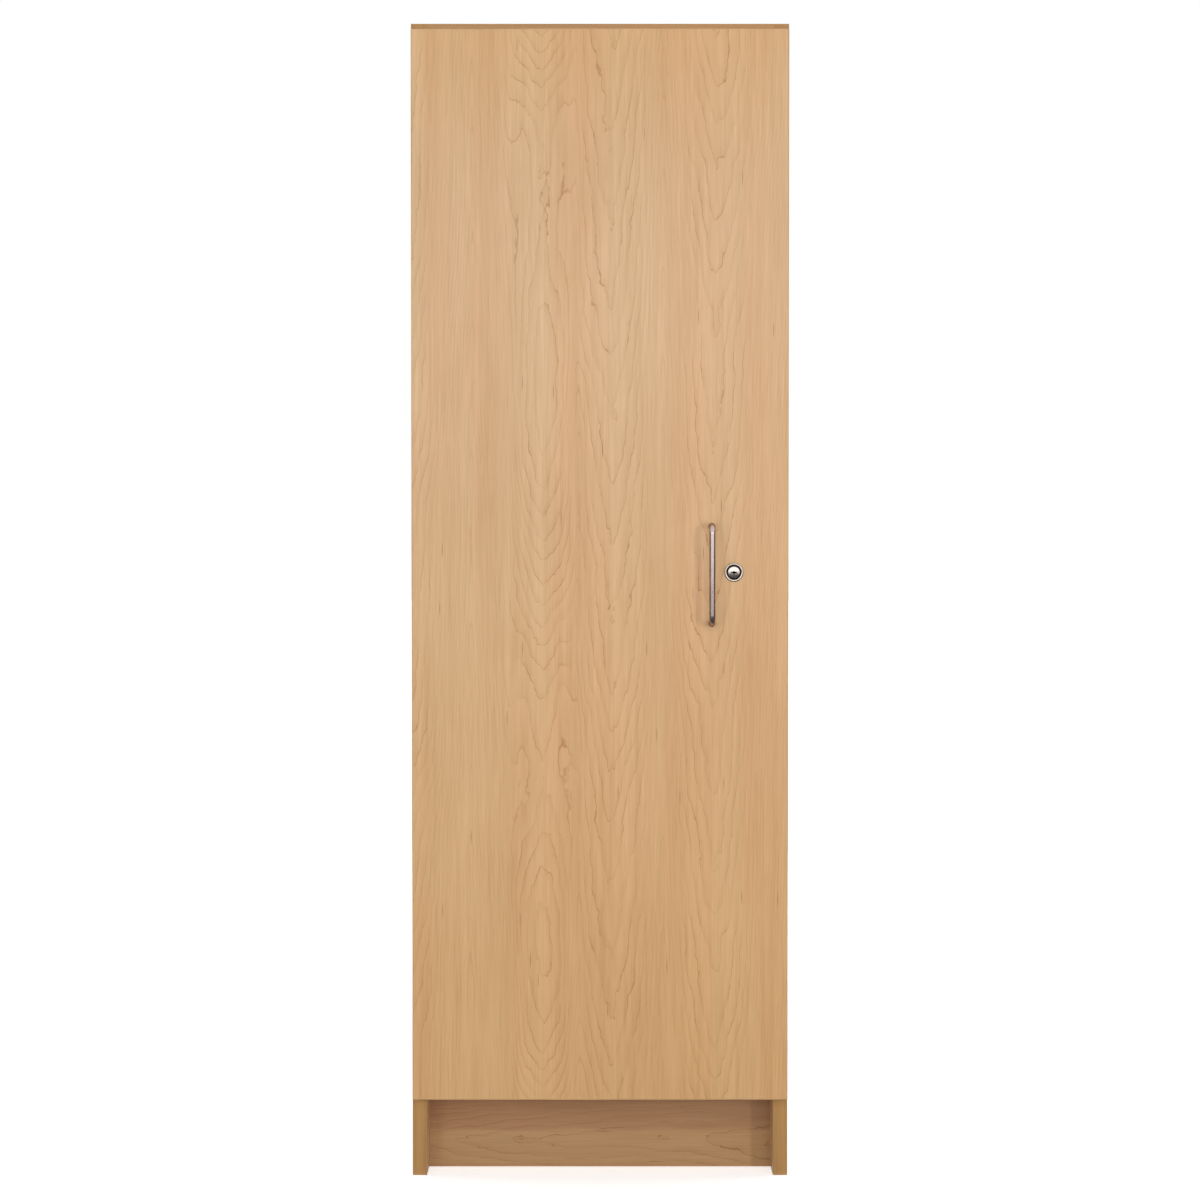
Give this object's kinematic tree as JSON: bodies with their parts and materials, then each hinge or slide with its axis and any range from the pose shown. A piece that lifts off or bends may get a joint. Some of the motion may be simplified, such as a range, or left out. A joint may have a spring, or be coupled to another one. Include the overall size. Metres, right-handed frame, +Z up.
{
  "type": "tall storage cabinet",
  "caption": "Tall narrow storage cabinet: an overlay door on concealed hinges with a wire pull and a cam lock, shelves inside, and a recessed toe kick.",
  "frame": {"origin": "on the floor, at the centre of the bottom of the box round the whole cabinet, pull included", "axes": "+X to the right seen from the front, +Y to the back, +Z up; the door faces -Y"},
  "size_m": [0.498, 0.543, 1.524],
  "materials": {
    "maple_laminate": "satin melamine with a printed maple grain",
    "toe_kick_laminate": "satin melamine with the maple grain running across",
    "hidden_board": "raw-edged board, satin face",
    "back_laminate": "thin laminated board, satin",
    "edge_band": "satin edge band, a little darker than the faces",
    "satin_nickel": "satin plated round bar",
    "lock_nickel": "polished rim, brushed plug face",
    "lock_steel": "zinc plated steel",
    "hinge_nickel": "nickel plated pressed steel",
    "hinge_steel": "plated steel",
    "screw_steel": "nickel plated screws",
    "peg_nickel": "nickel plated pegs",
    "zinc": "cast zinc cams and plated bolts",
    "beech": "fluted beech, raw",
    "clear_bumper": "soft translucent dots"
  },
  "bodies": {
    "carcass": {"side_panel_left": "maple_laminate", "side_edge_band_left": "edge_band", "side_panel_right": "maple_laminate", "side_edge_band_right": "edge_band", "bottom_panel": "maple_laminate", "bottom_edge_band": "edge_band", "top_panel": "maple_laminate", "top_edge_band": "edge_band", "back_panel": "back_laminate", "toe_kick_board": "toe_kick_laminate", "rear_base_rail": "hidden_board", "rear_top_rail": "hidden_board", "adjustable_shelf_1": "maple_laminate", "fixed_shelf": "maple_laminate", "adjustable_shelf_2": "maple_laminate", "adjustable_shelf_3": "maple_laminate", "shelf_edge_bands": "edge_band", "shelf_pegs": "peg_nickel", "dowels": "beech", "connecting_bolts": "zinc", "connector_cams": "zinc", "lock_strike": "lock_steel", "strike_screws": "screw_steel", "arm_pivot_pins": "hinge_steel", "plate_screws": "screw_steel", "arm_screws": "screw_steel", "hinge_arm_1": "hinge_nickel", "hinge_arm_2": "hinge_nickel", "hinge_arm_3": "hinge_nickel", "hinge_plate_1": "hinge_nickel", "hinge_plate_2": "hinge_nickel", "hinge_plate_3": "hinge_nickel"},
    "inner_links": {"hinge_inner_link_1": "hinge_steel", "hinge_inner_link_2": "hinge_steel", "hinge_inner_link_3": "hinge_steel"},
    "door": {"door_panel": "maple_laminate", "door_edge_band_left": "edge_band", "door_edge_band_right": "edge_band", "door_edge_band_top": "edge_band", "door_edge_band_bottom": "edge_band", "door_bumpers": "clear_bumper", "pull_handle": "satin_nickel", "pull_screws": "screw_steel", "lock_housing": "lock_nickel", "lock_nut": "lock_steel", "cup_screws": "screw_steel", "cup_pivot_pins": "hinge_steel", "hinge_cup_1": "hinge_nickel", "hinge_cup_2": "hinge_nickel", "hinge_cup_3": "hinge_nickel"},
    "outer_links": {"hinge_outer_link_1": "hinge_steel", "hinge_outer_link_2": "hinge_steel", "hinge_outer_link_3": "hinge_steel"},
    "lock_turner": {"lock_plug": "lock_nickel", "lock_cam": "lock_steel", "cam_washer": "lock_steel", "cam_screw": "screw_steel"}
  },
  "joints": [
    {"name": "inner_link_turn", "type": "hinge", "parent": "carcass", "child": "inner_links", "pos_m": [-0.2185, -0.203, 0.814], "axis": [0, 0, 1], "range_deg": [0, 38.3]},
    {"name": "door_swing", "type": "hinge", "parent": "inner_links", "child": "door", "pos_m": [-0.238, -0.22135, 0.814], "axis": [0, 0, -1], "range_deg": [0, 143.2]},
    {"name": "outer_link_turn", "type": "hinge", "parent": "door", "child": "outer_links", "pos_m": [-0.2325, -0.222, 0.814], "axis": [0, 0, 1], "range_deg": [0, 151]},
    {"name": "lock_turn", "type": "hinge", "parent": "door", "child": "lock_turner", "pos_m": [0.1761, -0.2275, 0.80196], "axis": [0, 1, 0], "range_deg": [0, 90]}
  ],
  "couplings": [
    {"joint": "inner_link_turn", "follows": "door_swing", "ratio": 0.26676},
    {"joint": "outer_link_turn", "follows": "door_swing", "ratio": 1.054}
  ]
}
